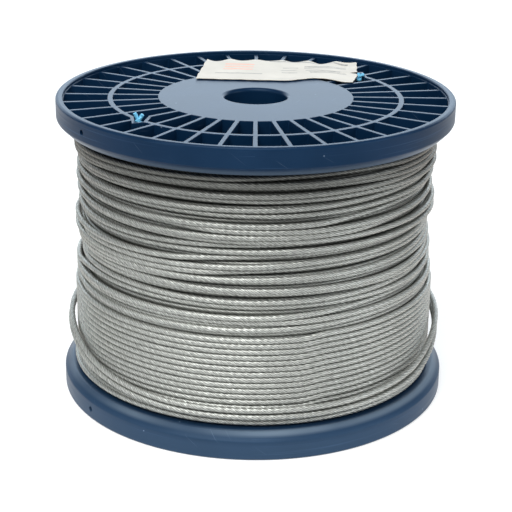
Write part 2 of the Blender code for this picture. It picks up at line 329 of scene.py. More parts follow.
def moulded_plastic(reel):
    """Injection-moulded polypropylene, as the tool leaves it: satin, with faint marks around the rim,
    fine scratches, dust specks and sink lines over the hub's webs."""
    made, add, dress = new_material("moulded_polypropylene")
    place = add("TexCoord", out="Object")
    x, y, z = add("SeparateXYZ", (place,)).node.outputs
    angle = add("Math", (x, y), operation='ARCTAN2')
    radius = add("VectorMath", (add("CombineXYZ", (x, y)),), "Value", operation='LENGTH')

    # Marks that run around the rim's outer face, about half a millimetre wide
    run = add("Math", (angle, 1.2), operation='MULTIPLY')
    rise = add("Math", (z, 1400.0), operation='MULTIPLY')
    lines = add("TexNoise", {"Vector": add("CombineXYZ", (run, rise)), "Scale": 1.0, "Detail": 2.0})
    on_rim = add("Math", (radius, FLANGE_R - 1 * MM), operation='GREATER_THAN')
    streaks = add("Math", (lines, on_rim), operation='MULTIPLY')

    # Scratches: short straight lines 1.6 mm apart, each kept only where its own patch of noise is high
    turned = add("Mapping", {"Vector": place, "Rotation": (0.4, 0.8, 0.6)})
    bands = add("TexWave", {"Vector": turned, "Scale": 196.0, "Distortion": 0.4, "Detail": 0.0}, 1)
    thin = add("Math", (bands, 0.985), operation='GREATER_THAN')
    drawn = add("Mapping", {"Vector": turned, "Scale": (620.0, 110.0, 110.0)})
    patches = add("TexNoise", {"Vector": drawn, "Scale": 1.0, "Detail": 0.0})
    worn = add("MapRange", (patches, 0.68, 0.82, 0.0, 0.25))
    scratch = add("Math", (thin, worn), operation='MULTIPLY')

    # Dust specks, drawn about 0.4 mm across, coarser than real dust
    dust = add("TexVoronoi", {"Vector": place, "Scale": 330.0}, "Distance")
    near = add("MapRange", (dust, 0.05, 0.10, 1.0, 0.0))
    pick = add("SeparateColor", (dust.node.outputs["Color"],))
    rare = add("Math", (pick, 0.93), operation='GREATER_THAN')
    speck = add("Math", (near, rare), operation='MULTIPLY')
    marks = add("Math", (scratch, speck), operation='MAXIMUM')

    # Sink lines on the hub's face, over its webs
    turns = add("Math", (angle, HUB_WEBS / (2 * pi)), operation='MULTIPLY')
    folded = add("Math", (turns, 0.5), operation='PINGPONG')
    off = add("Math", (0.5, folded), operation='SUBTRACT')
    away = add("Math", (off, radius), operation='MULTIPLY')
    line = add("MapRange", (away, 0.0, 0.05 * MM, 1.0, 0.0))
    inside = add("Math", (radius, BARREL_R - 1.5 * MM), operation='LESS_THAN')
    sink = add("Math", (line, inside), operation='MULTIPLY')

    # Painted reflection: the upper flange's chamfer, which faces down, is made a little paler for the floor
    # it reflects
    edge_near = add("MapRange", (z, HALF_H + FLANGE_Z + 1.2 * MM, HALF_H + FLANGE_Z + 2.4 * MM, 1.0, 0.0))
    upper = add("Math", (z, HALF_H), operation='GREATER_THAN')
    chamfer = add("Math", (radius, FLANGE_R - 3 * MM), operation='GREATER_THAN')
    chamfer_reflection = 0.11
    for share in (edge_near, upper, chamfer):
        chamfer_reflection = add("Math", (chamfer_reflection, share), operation='MULTIPLY')

    # Painted highlight: a pale ring in patches on the lower flange's face and chamfer, beside the winding,
    # for the sheen of light on them
    sheen_patches = add("TexNoise", {"Vector": place, "Scale": 14.0, "Detail": 3.0})
    face_sheen = add("MapRange", (sheen_patches, 0.35, 0.65, 0.02, 0.28))
    face_in = add("MapRange", (radius, SHEEN_RING_R - 2.4 * MM, SHEEN_RING_R - 0.4 * MM),
                  interpolation_type='SMOOTHSTEP')
    face_out = add("MapRange", (radius, SHEEN_RING_R - 0.1 * MM, SHEEN_RING_R + 1.1 * MM, 1.0, 0.0),
                   interpolation_type='SMOOTHSTEP')
    face_low = add("Math", (z, FLANGE_H - 1.4 * MM, 1.6 * MM), operation='COMPARE')
    for share in (face_in, face_out, face_low):
        face_sheen = add("Math", (face_sheen, share), operation='MULTIPLY')

    # The lower flange is made paler towards its foot, fading out upwards. These layers go over the base
    # colour
    streak_part = add("MapRange", (streaks, 0.60, 0.75, 0.0, 0.16))
    foot = add("MapRange", (z, 0.5 * FLANGE_H, 1.2 * FLANGE_H, 0.16, 0.0))
    # Painted highlight and painted reflection: the pale layer from the two masks above
    painted_sheen = add("Math", (face_sheen, chamfer_reflection), operation='MAXIMUM')
    marked = add("Math", (marks, 0.45), operation='MULTIPLY')
    cloud = add("TexNoise", {"Vector": place, "Scale": 45.0, "Detail": 4.0})
    tint = add("MapRange", (cloud, 0.3, 0.7))
    colour = add("Mix", {0: tint, 6: shaded(reel.colour, 0.86), 7: shaded(reel.colour, 1.10, 0.002)}, 2,
                 data_type='RGBA')
    for part, over in ((streak_part, "#5F7FA8"), (foot, "#6F8CAB"), (painted_sheen, "#A6B8C6"), (marked, "#9DB2CC")):
        colour = add("Mix", {0: part, 6: colour, 7: linear(over)}, 2, data_type='RGBA')

    rough = add("MapRange", (streaks, 0.3, 0.8, 0.33, 0.46))
    skin = add("TexNoise", {"Vector": place, "Scale": 900.0, "Detail": 2.0})
    height = add("Math", (streaks, 0.5, skin), operation='MULTIPLY_ADD')
    for dent in (marks, sink):
        height = add("Math", (height, dent), operation='SUBTRACT')
    normal = add("Bump", {"Strength": 0.25, "Distance": 0.03 * MM, "Height": height})
    dress({"Base Color": colour, "Roughness": rough, "IOR": 1.49, "Specular IOR Level": 0.15,
           "Specular Tint": linear("#C6E2FF"), "Normal": normal})
    return made


def galvanised_rope(rope, name, shade=1.0):
    """Drawn steel wires with a zinc coat, laid up in strands: matt and pale, with painted shade between
    strands and between wires.
    It reads the rope's own UV map, whose U goes around the strands and whose V is length."""
    made, add, dress = new_material(name)
    across, along = add("SeparateXYZ", (add("UVMap", uv_map="rope"),)).node.outputs[:2]

    # Wires slant across the strands. Eight are drawn around the rope, about 1.1 mm apart along it,
    # which is coarser than real wires of about 0.2 mm
    around_rope = add("Math", (across, float(WIRES_AROUND)), operation='MULTIPLY')
    slanted = add("Math", (along, WIRE_SLANT, around_rope), operation='MULTIPLY_ADD')
    uneven = add("TexNoise", {"W": along, "Scale": 70.0, "Detail": 2.0}, noise_dimensions='1D')
    wires = add("Math", (uneven, 4.0, slanted), operation='MULTIPLY_ADD')
    wave = add("Math", (wires, 0.5), operation='PINGPONG')
    strand = add("Math", (across, float(rope.strands)), operation='MULTIPLY')
    dip = add("Math", (strand, 0.5), operation='PINGPONG')

    # Each wire takes its own brightness, and the zinc is cloudy along it
    wire_no = add("Math", (wires,), operation='FLOOR')
    far = add("Math", (along, 260.0), operation='MULTIPLY')
    zinc = add("TexNoise", {"Vector": add("CombineXYZ", (wire_no, far)), "Scale": 1.0, "Detail": 3.0},
               noise_dimensions='2D')
    laid = add("MapRange", (zinc, 0.3, 0.7, 0.72, 1.0))
    # Painted shade: the colour is darkened in the grooves between strands and along the lines between wires
    valley = add("MapRange", (dip, 0.0, 0.12, 0.45, 1.0))
    spread = add("Math", (across, 5.0), operation='MULTIPLY')
    patches = add("TexNoise", {"Vector": add("CombineXYZ", (spread, far)), "Scale": 2.0, "Detail": 2.0},
                  noise_dimensions='2D')
    faint = add("MapRange", (patches, 0.35, 0.65, 0.0, 0.45))
    edge = add("MapRange", (wave, 0.02, 0.26, faint, 1.0))
    for share in (valley, edge):
        laid = add("Math", (laid, share), operation='MULTIPLY')

    # Painted shade: the turns darken towards the top flange and are darkest just under it, for the shade and
    # shadow the flange casts
    height = add("SeparateXYZ", (add("TexCoord", out="Object"),), 2)
    shade_fade = add("MapRange", (height, *SHADE_FADE_HEIGHTS, 1.0, 0.70))
    flange_shadow = add("MapRange", (height, *SHADOW_BAND_HEIGHTS, 1.0, 0.45))
    painted_shade = add("Math", (shade_fade, flange_shadow), operation='MULTIPLY')
    metal = add("Mix", {0: laid, 6: shaded(rope.colour, shade * 0.11), 7: shaded(rope.colour, shade)}, 2,
                data_type='RGBA')
    # Painted shade: the colour is mixed towards near black by height
    base = add("Mix", {0: painted_shade, 6: linear("#0C0B09"), 7: metal}, 2, data_type='RGBA')
    rough = add("MapRange", (zinc, 0.3, 0.7, 0.52, 0.40))
    normal = add("Bump", {"Strength": 0.8, "Distance": 0.07 * MM, "Height": wave})
    dress({"Base Color": base, "Metallic": 0.75, "Specular Tint": linear("#FFF0E4"), "Roughness": rough,
           "Normal": normal})
    return made


def packed_rope(rope):
    """Galvanised steel rope deep in the winding, which shows only as grey between other ropes. Its colour is
    the zinc's, painted darker as painted shade.
    """
    made, add, dress = new_material("galvanised_steel_in_shade")
    spread = add("Mapping", {"Vector": add("TexCoord", out="Object"), "Scale": (400.0, 400.0, 900.0)})
    grain = add("TexNoise", {"Vector": spread, "Scale": 1.0, "Detail": 2.0})
    # Painted shade: the zinc colour is darkened to between a quarter and a half of itself
    base = add("Mix", {0: grain, 6: shaded(rope.colour, 0.25), 7: shaded(rope.colour, 0.55)}, 2,
               data_type='RGBA')
    dress({"Base Color": base, "Metallic": 0.6, "Roughness": 0.6})
    return made


def label_paper(label):
    """Uncoated label paper: matt and white, with fine fibres. The print is ruled lines and wide stripes,
    placed by the label's own UV map in units of its width and depth."""
    made, add, dress = new_material("uncoated_label_paper")
    u, v = add("SeparateXYZ", (add("UVMap", uv_map="label"),)).node.outputs[:2]
    place = add("TexCoord", out="Object")
    fibre = add("TexNoise", {"Vector": place, "Scale": 900.0, "Detail": 4.0})
    mottle = add("TexNoise", {"Vector": place, "Scale": 120.0, "Detail": 2.0})
    clear = add("MapRange", (mottle, 0.3, 0.7))
    colour = add("Mix", {0: clear, 6: shaded(label.colour, 0.90), 7: label.colour[:]}, 2, data_type='RGBA')

    inks = {"print": label.print_colour[:], "accent": label.accent_colour[:]}
    for left, right, low, high, lines, strength, ink in LABEL_PRINT:
        part = add("Math", (u, (left + right) / 2, (right - left) / 2), operation='COMPARE')
        in_v = add("Math", (v, (low + high) / 2, (high - low) / 2), operation='COMPARE')
        rows = add("Math", (v, lines / (high - low), -low * lines / (high - low)),
                   operation='MULTIPLY_ADD')
        wave = add("Math", (rows, 0.5), operation='PINGPONG')
        ruled = add("Math", (wave, 0.28), operation='GREATER_THAN')
        worn = add("MapRange", (fibre, 0.35, 0.65, strength * 0.6, strength))
        for share in (in_v, ruled, worn):
            part = add("Math", (part, share), operation='MULTIPLY')
        colour = add("Mix", {0: part, 6: colour, 7: inks[ink]}, 2, data_type='RGBA')
    normal = add("Bump", {"Strength": 0.3, "Distance": 0.03 * MM, "Height": fibre})
    dress({"Base Color": colour, "Roughness": 0.8, "IOR": 1.45, "Normal": normal})
    return made


def split_twine(twine):
    """Fibrillated polypropylene twine: a soft sheen, with split fibres that run along it."""
    made, add, dress = new_material("fibrillated_polypropylene_twine")
    stretched = add("Mapping", {"Vector": add("UVMap", uv_map="rope"), "Scale": (40.0, 500.0, 1.0)})
    fibre = add("TexNoise", {"Vector": stretched, "Scale": 1.0, "Detail": 3.0})
    split = add("MapRange", (fibre, 0.4, 0.7))

    # The cut ends are bleached and frayed
    height = add("SeparateXYZ", (add("TexCoord", out="Object"),), 2)
    bleached = add("MapRange", (height, REEL_H - 0.2 * MM, REEL_H + 1.2 * MM, 0.0, 0.9))
    part = add("Math", (split, bleached), operation='MAXIMUM')
    base = add("Mix", {0: part, 6: twine.colour[:], 7: shaded(twine.colour, 1.6, 0.12)}, 2,
               data_type='RGBA')
    normal = add("Bump", {"Strength": 0.7, "Distance": 0.08 * MM, "Height": fibre})
    dress({"Base Color": base, "Roughness": 0.5, "IOR": 1.49, "Normal": normal})
    return made


def white_floor(studio):
    """Opal acrylic of a light table: matt and white, lit softly from below so that shadows stay faint."""
    made, add, dress = new_material("opal_acrylic_light_table")
    grain = add("TexNoise", {"Vector": add("TexCoord", out="Object"), "Scale": 60.0, "Detail": 2.0})
    base = add("Mix", {0: grain, 6: shaded(studio.floor_colour, 0.985), 7: studio.floor_colour[:]}, 2,
               data_type='RGBA')
    dress({"Base Color": base, "Roughness": 0.95, "Emission Color": (1, 1, 1, 1),
           "Emission Strength": studio.floor_glow})
    return made


def placed(name, data):
    """Object for a mesh, curve, camera or light, linked to the scene."""
    item = bpy.data.objects.new(name, data)
    bpy.context.scene.collection.objects.link(item)
    return item


def taken(item, *helpers):
    """Mesh of an object as its modifiers leave it. The object goes, and its helpers with it."""
    bpy.context.view_layer.update()
    mesh = bpy.data.meshes.new_from_object(item.evaluated_get(bpy.context.evaluated_depsgraph_get()))
    for one in (item, *helpers):
        bpy.data.objects.remove(one, do_unlink=True)
    return mesh


def add_piece(name, mesh, finish, slot, *nodes):
    """Link a finished mesh at the origin as a piece on the frame, in place of the nodes it stands for."""
    item = placed(name, mesh)
    mesh.materials.clear()
    mesh.materials.append(finish)
    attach(item, "root")
    if nodes:
        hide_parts(*nodes)
    return item


def mesh_of(name, bm, outwards=True):
    """Turn a bmesh into a mesh, whose faces point outwards if it is closed."""
    if outwards:
        bmesh.ops.recalc_face_normals(bm, faces=bm.faces)
    mesh = bpy.data.meshes.new(name)
    bm.to_mesh(mesh)
    bm.free()
    return mesh


def add_turned(bm, profile, segments):
    """Spin a closed profile of radius and height pairs once around Z."""
    points = [bm.verts.new((r, 0, z)) for r, z in profile]
    sides = [bm.edges.new(pair) for pair in zip(points, points[1:] + points[:1])]
    bmesh.ops.spin(bm, geom=points + sides, cent=(0, 0, 0), axis=(0, 0, 1),
                   angle=2 * pi, steps=segments, use_merge=True)


def add_loft(bm, outline_at, levels):
    """Closed solid through a stack of outlines: each level is a height and an inset."""
    height, inset = levels[0]
    face = bm.faces.new([bm.verts.new((*point, height)) for point in outline_at(inset)])
    for k, (height, inset) in enumerate(levels[1:]):
        raised = bmesh.ops.extrude_face_region(bm, geom=[face])["geom"]
        if k:
            bmesh.ops.delete(bm, geom=[face], context='FACES_ONLY')
        face = next(item for item in raised if isinstance(item, bmesh.types.BMFace))
        for corner, point in zip(face.verts, outline_at(inset)):
            corner.co = (*point, height)


def rounded(outline, corners, cut, steps=3):
    """Outline with some of its corners drawn as short curves that start a cut away from them."""
    made = []
    for k, point in enumerate(outline):
        if k not in corners:
            made.append(point)
            continue
        start = point + (outline[k - 1] - point).normalized() * cut
        end = point + (outline[(k + 1) % len(outline)] - point).normalized() * cut
        for i in range(steps + 1):
            t = i / steps
            made.append(start * (1 - t) ** 2 + point * 2 * t * (1 - t) + end * t * t)
    return made


def sector(start, count, wall, r_in, r_out, inset, parts, cut):
    """Outline of the space between two straight-sided radial walls, set in on every side."""
    outline = []
    for radius, order in ((r_in + inset, range(parts + 1)), (r_out - inset, range(parts, -1, -1))):
        lean = asin((wall / 2 + inset) / radius)
        sweep = 2 * pi / count - 2 * lean
        outline += [around(start + lean + sweep * i / parts, radius) for i in order]
    return rounded(outline, (0, parts, parts + 1, 2 * parts + 1), cut)


def pocket_levels(reel, fillet):
    """Heights and insets of a pocket: a fillet at its floor, draft on its walls, rounded top edges."""
    edge = reel.edge_rounding
    foot = reel.draft
    return [(PLATE_Z, foot + fillet), (PLATE_Z + 0.1 * fillet, foot + 0.55 * fillet),
            (PLATE_Z + 0.45 * fillet, foot + 0.15 * fillet), (PLATE_Z + fillet, foot),
            (RIB_Z - edge, 0), (RIB_Z - 0.45 * edge, -0.15 * edge), (RIB_Z - 0.1 * edge, -0.55 * edge),
            (RIB_Z, -edge), (RIB_Z + CUT_OVER, -edge)]


def quarter(r_middle, z_middle, radius, start, steps=6):
    """Points of a quarter circle in a profile, from a start angle turning left."""
    return [(r_middle + radius * cos(start + pi / 2 * i / steps),
             z_middle + radius * sin(start + pi / 2 * i / steps)) for i in range(steps + 1)]


def half_profile(reel):
    """Section of one reel half, from the bore up over the flange and down to the barrel."""
    inner = FLANGE_R - reel.rim_thickness
    outer = FLANGE_R - reel.rim_rounding
    bore = reel.bore_radius + reel.bore_rounding
    small = 3 * reel.edge_rounding
    profile = [(reel.bore_radius, MATE_Z)]
    profile += quarter(bore, RIB_Z - reel.bore_rounding, reel.bore_rounding, pi / 2)[::-1]
    profile += [(inner, RIB_Z)]
    profile += quarter(inner + small, HALF_H - small, small, pi / 2)[::-1]
    profile += quarter(outer, HALF_H - reel.rim_rounding, reel.rim_rounding, 0)[::-1]
    low = FLANGE_Z + reel.rim_chamfer
    profile += [(FLANGE_R, low + 0.35 * MM), (FLANGE_R - 0.08 * MM, low + 0.08 * MM),
                (FLANGE_R - 0.3 * MM, low - 0.3 * MM),
                (FLANGE_R - reel.rim_chamfer + 0.3 * MM, FLANGE_Z + 0.3 * MM),
                (FLANGE_R - reel.rim_chamfer - 0.1 * MM, FLANGE_Z + 0.04 * MM),
                (FLANGE_R - reel.rim_chamfer - 0.5 * MM, FLANGE_Z),
                (BARREL_R, FLANGE_Z), (BARREL_R, MATE_Z)]
    return profile


def cell_outline(reel, angle, inset, mouth):
    """Outline of a twine cell, set in from its walls' middle lines, with its mouth drawn out."""
    corners = [Vector(c) * MM for c in CELL_CORNERS]
    middle = sum(corners, Vector((0, 0))) / len(corners)
    lines = []
    for k, (a, b) in enumerate(zip(corners, corners[1:] + corners[:1])):
        along = (b - a).normalized()
        out = Vector((-along.y, along.x))
        if out.dot(a - middle) < 0:
            out = -out
        lines.append((a + out * (mouth if k == len(corners) - 1 else -inset), along))
    outline = []
    for k, (q, e) in enumerate(lines):
        p, d = lines[k - 1]
        corner = p + d * ((q - p).cross(e) / d.cross(e))
        outline.append(around(angle, reel.ring_radius + corner.y, corner.x))
    return outline


def add_rod(bm, start, end, diameter, sides=24):
    """Closed round rod from one point to another."""
    lean = (end - start).to_track_quat('Z', 'Y').to_matrix().to_4x4()
    bmesh.ops.create_cone(bm, cap_ends=True, segments=sides, radius1=diameter / 2, radius2=diameter / 2,
                          depth=(end - start).length, matrix=Matrix.Translation((start + end) / 2) @ lean)


def tool_object(name, bm):
    """Object that only cuts others, and is removed once it has."""
    return placed(name, mesh_of(name, bm))


def cut(target, tool):
    """Take a tool's shape out of an object."""
    step = target.modifiers.new("cut by " + tool.name, 'BOOLEAN')
    step.operation = 'DIFFERENCE'
    step.solver = 'EXACT'
    step.object = tool


def tie_spot(reel, angle):
    """Middle of the twine hole in the cell at an angle."""
    return around(angle, reel.ring_radius + TIE_HOLE_SPOT[1], TIE_HOLE_SPOT[0])


def reel_tools(reel):
    """Objects that cut a reel half: its pockets, the blocks that spare the cells, the cells and holes."""
    levels = pocket_levels(reel, POCKET_FILLET)
    wall = reel.rib_thickness
    inner, outer = reel.ring_radius - reel.ring_thickness / 2, reel.ring_radius + reel.ring_thickness / 2
    rim = FLANGE_R - reel.rim_thickness - 0.2 * MM
    pockets, blocks, cells, holes, hub = (bmesh.new() for _ in range(5))
    for k in range(reel.ribs):
        start = 2 * pi * k / reel.ribs
        for r_in, r_out in ((BARREL_R, inner), (outer, rim)):
            add_loft(pockets, lambda inset: sector(start, reel.ribs, wall, r_in, r_out, inset, 5,
                                                   POCKET_CUT), levels)
    for angle in CELL_ANGLES:
        stretched = [(PLATE_Z - CUT_OVER, levels[0][1]), *levels, (RIB_Z + 2 * CUT_OVER, levels[-1][1])]
        add_loft(blocks, lambda inset: cell_outline(reel, angle, -CELL_WALL / 2 - inset, 0), stretched)
        add_loft(cells, lambda inset: cell_outline(reel, angle, CELL_WALL / 2 + inset, CELL_MOUTH), levels)
        spot = tie_spot(reel, angle).to_3d()
        add_rod(holes, spot + Vector((0, 0, FLANGE_Z - CUT_OVER)), spot + Vector((0, 0, PLATE_Z + CUT_OVER)),
                TIE_HOLE_D)
    hole_z = Vector((0, 0, (HALF_H - reel.rim_rounding + FLANGE_Z + reel.rim_chamfer) / 2))
    near = around(ROPE_HOLE_ANGLE, FLANGE_R - reel.rim_thickness - CUT_OVER).to_3d() + hole_z
    far = around(ROPE_HOLE_ANGLE, FLANGE_R + CUT_OVER).to_3d() + hole_z
    add_rod(holes, near, far, ROPE_HOLE_D)
    for k in range(HUB_WEBS):
        add_loft(hub, lambda inset: sector(2 * pi * k / HUB_WEBS, HUB_WEBS, HUB_WEB_T,
                                           reel.bore_radius + SPINDLE_T, BARREL_R - BARREL_T, inset, 24,
                                           HUB_CUT),
                 [(MATE_Z - CUT_OVER, 0), (RIB_Z - HUB_FACE_T, 0)])
    names = ("pocket_tool", "block_tool", "cell_tool", "hole_tool", "hub_tool")
    made = [tool_object(name, bm) for name, bm in zip(names, (pockets, blocks, cells, holes, hub))]
    cut(made[0], made[1])
    return made


def reel_half_mesh(reel):
    """Mesh of one reel half around the plane where the halves meet."""
    bm = bmesh.new()
    add_turned(bm, half_profile(reel), reel.segments)
    body = tool_object("reel_half_blank", bm)
    tools = reel_tools(reel)
    for tool in (tools[0], tools[2], tools[3], tools[4]):
        cut(body, tool)
    carved = taken(body, *tools)
    carved.shade_smooth()
    carved.set_sharp_from_angle(angle=radians(50))
    item = placed("reel_half_shaded", carved)
    weigh = item.modifiers.new("flat faces keep their shading", 'WEIGHTED_NORMAL')
    weigh.keep_sharp = True
    made = taken(item)
    made.name = "reel_half"
    return made


def tube(name, points, diameter, strands, lay, crest_points=2, valley=0.83):
    """Mesh of a laid rope along a path: lobes for its strands, twisted once in each lay.
    Its UV map has U around the strands and V as length in metres."""
    count = strands * (crest_points + 1)
    profile = bpy.data.curves.new(name + "_section", 'CURVE')
    profile.dimensions = '2D'
    ring = profile.splines.new('POLY')
    ring.points.add(count - 1)
    turn = -np.arange(count) / count * 2 * pi
    reach = np.where(np.arange(count) % (crest_points + 1) == 0, valley, 1.0) * diameter / 2
    ring.points.foreach_set("co", np.stack([reach * np.cos(turn), reach * np.sin(turn),
                                            0 * turn, 0 * turn + 1], 1).ravel())
    ring.use_cyclic_u = True
    section = placed(name + "_section", profile)

    path = bpy.data.curves.new(name + "_path", 'CURVE')
    path.dimensions = '3D'
    path.twist_mode = 'Z_UP'
    path.bevel_mode = 'OBJECT'
    path.bevel_object = section
    path.use_fill_caps = True
    line = path.splines.new('POLY')
    line.points.add(len(points) - 1)
    line.points.foreach_set("co", np.concatenate([points, np.ones((len(points), 1))], 1).ravel())
    length = np.concatenate([[0], np.cumsum(np.linalg.norm(np.diff(points, axis=0), axis=1))])
    line.points.foreach_set("tilt", 2 * pi * length / lay)
    line.use_smooth = True
    mesh = taken(placed(name + "_path", path), section)
    for layer in list(mesh.uv_layers)[1:]:
        mesh.uv_layers.remove(layer)
    layer = mesh.uv_layers[0]
    layer.name = "rope"
    where = np.empty(len(mesh.loops) * 2, np.float32)
    layer.uv.foreach_get("vector", where)
    where = where.reshape(-1, 2)[:, ::-1].copy()
    where[:, 1] *= length[-1]
    layer.uv.foreach_set("vector", where.ravel())

    bm = bmesh.new()
    bm.from_mesh(mesh)
    bmesh.ops.remove_doubles(bm, verts=bm.verts, dist=1e-6)
    bmesh.ops.recalc_face_normals(bm, faces=bm.faces)
    bm.to_mesh(mesh)
    bm.free()
    mesh.shade_smooth()
    for face in mesh.polygons:
        face.use_smooth = len(face.vertices) <= 4
    mesh.name = name
    return mesh


def on_reel(angle, radius, height):
    """Points at angles, radii and heights, as rows."""
    return np.stack([radius * np.sin(angle), -radius * np.cos(angle), height + 0 * angle], 1)


def between(angle, points):
    """Value at an angle from a few pairs of degrees and values, joined by a smooth closed curve."""
    where = np.radians([p[0] for p in points])
    value = np.array([p[1] for p in points])
    wrapped = np.concatenate([where[-3:] - 2 * pi, where, where[:3] + 2 * pi])
    values = np.concatenate([value[-3:], value, value[:3]])
    fine = np.linspace(wrapped[0], wrapped[-1], 2400)
    rough = np.interp(fine, wrapped, values)
    window = np.hanning(121)
    soft = np.convolve(rough, window / window.sum(), mode='same')
    return np.interp((angle + pi) % (2 * pi) - pi, fine, soft)


def blurred(values, reach):
    """Values averaged with their neighbours within a reach."""
    window = np.hanning(2 * reach + 1)
    padded = np.concatenate([values[:1].repeat(reach), values, values[-1:].repeat(reach)])
    return np.convolve(padded, window / window.sum(), mode='valid')


def soft_limit(value, width):
    """Value kept above zero, easing towards it within a width."""
    return width * np.log1p(np.exp(value / width))


def neatness(height):
    """1 among the neat turns, easing to 0 above them, where the winding is narrower."""
    return 1 - smooth_step(height, NEAT_TOP, NEAT_TOP + NARROWING)


def neat_path(rope):
    """The even turns: level, but for two short steps of half a pitch in each turn."""
    turns = rope.neat_turns
    theta = np.linspace(0, 2 * pi * turns, turns * STEPS_A_TURN + 1)
    whole = np.floor(theta / (2 * pi))
    phi = theta - 2 * pi * whole - pi
    step = 0.5 * smooth_step(phi, radians(13), radians(23))
    back = 0.5 * smooth_step(phi, radians(170), radians(180))
    height = (NEAT_FOOT + rope.pitch * (whole + step + back)
              + 0.03 * MM * np.sin(1.37 * theta + 0.6) + 0.03 * MM * np.sin(2.61 * theta))
    lift = np.exp(-((phi - radians(18)) / radians(5)) ** 2) * 0.15 * MM
    radius = NEAT_RADIUS + lift + 0.02 * MM * np.sin(0.83 * theta + 1.0)
    # The first turn comes up from the layer beneath
    radius = radius - TUCK * (1 - smooth_step(theta, 0, 0.3))
    return theta, radius, height


def upper_path(rope, neat_end):
    """The uneven turns: they wander up and down, and where two meet, the later one rides on the other."""
    turns, d = rope.upper_turns, rope.diameter
    n = STEPS_A_TURN
    theta = np.linspace(0, 2 * pi * turns, turns * n + 1)
    top = WINDING_HIGH.z - d / 2
    start = neat_end[2] + 0.6 * rope.pitch
    height = start + (top - start) * theta / theta[-1]
    for size, wave, shift in UPPER_WAVES:
        height = height + rope.unevenness * size * MM * np.sin(wave * theta + shift)
    height = top - soft_limit(top - height, 1.2 * MM)
    join = 1 - smooth_step(theta, 0, 1.6)
    height = height + join * (neat_end[2] - height[0])

    radius = np.full_like(theta, UPPER_RADIUS)
    base = UPPER_RADIUS + (NEAT_RADIUS - UPPER_RADIUS) * neatness(height)
    base = base + 0.5 * MM * smooth_step(height, 80 * MM, 88 * MM)
    reach = n // 16
    for k in range(turns + 1):
        first, last = k * n, min((k + 1) * n, turns * n + 1)
        here = base[first:last].copy()
        for m in range(max(0, k - 4), k):
            other = slice(m * n, m * n + last - first)
            near = d ** 2 - (height[first:last] - height[other]) ** 2
            rides = radius[other] + np.sqrt(np.clip(near, 0, None)) * (near > 0)
            here = np.where(near > 0, np.maximum(here, rides), here)
        before = radius[max(0, first - 2 * reach):first] if k else here[:1]
        row = np.concatenate([before, here, here[-1:].repeat(2 * reach)])
        wide = np.array([row[max(0, i - reach // 2):i + reach // 2 + 1].max() for i in range(len(row))])
        radius[first:last] = blurred(wide, reach)[len(before):len(before) + last - first]
    radius = blurred(radius, 20)
    radius = radius + (1 - smooth_step(theta, 0, 1.2)) * (neat_end[1] - radius[0])
    # The last turn's end is tucked in under the others
    radius = np.minimum(radius, MOST_RADIUS) - TUCK * smooth_step(theta, theta[-1] - 0.35, theta[-1])
    return theta, radius, height


def under_path(rope):
    """The layer below the uneven turns, which shows dark between them."""
    turns = rope.under_turns
    theta = np.linspace(0, 2 * pi * turns, turns * STEPS_A_TURN + 1)
    low, high = NEAT_TOP - rope.diameter, WINDING_HIGH.z - rope.diameter / 2
    height = low + (high - low) * theta / theta[-1]
    height = height + 0.25 * MM * np.sin(1.21 * theta) * smooth_step(theta, 0, 2) * (
        1 - smooth_step(theta, theta[-1] - 6, theta[-1]))
    radius = (UNDER_RADIUS + (NEAT_CORE_RADIUS - UNDER_RADIUS) * neatness(height)
              + 0.1 * MM * np.sin(0.9 * theta))
    return theta, radius, height


def slack_path(rope):
    """Three loose turns at the foot: one beside the flange, then two that rise at the sides and back."""
    n = STEPS_A_TURN
    phi = np.linspace(-pi, pi, n + 1)
    rows = [(between(phi, radii) * MM, between(phi, heights) * MM) for heights, radii in SLACK_TURNS]
    ease = smooth_step(phi, radians(120), pi)
    theta, radius, height = [], [], []
    for k, (r, z) in enumerate(rows):
        later = rows[k + 1] if k + 1 < len(rows) else (r, z)
        share = ease if k + 1 < len(rows) else 0 * ease
        stop = n + 1 if k + 1 == len(rows) else n
        theta.append((phi + 2 * pi * k)[:stop])
        radius.append((r + (later[0][0] - r) * share)[:stop])
        height.append((z + (later[1][0] - z) * share)[:stop])
    theta, radius = np.concatenate(theta), np.concatenate(radius)
    tucked = 1 - smooth_step(theta, theta[0], theta[0] + 0.3) + smooth_step(theta, theta[-1] - 0.3, theta[-1])
    return theta, radius - SLACK_TUCK * tucked, np.concatenate(height)


def add_turns(name, path, first_turn, last_turn, rope, finish, nodes=(), crest_points=2):
    """Piece made of some whole turns of a path."""
    theta, radius, height = path
    part = slice(first_turn * STEPS_A_TURN, last_turn * STEPS_A_TURN + 1)
    points = on_reel(theta[part] - pi, radius[part], height[part])
    mesh = tube(name, points, rope.diameter, rope.strands, rope.lay, crest_points)
    return add_piece(name, mesh, finish, "wire_rope", *nodes)


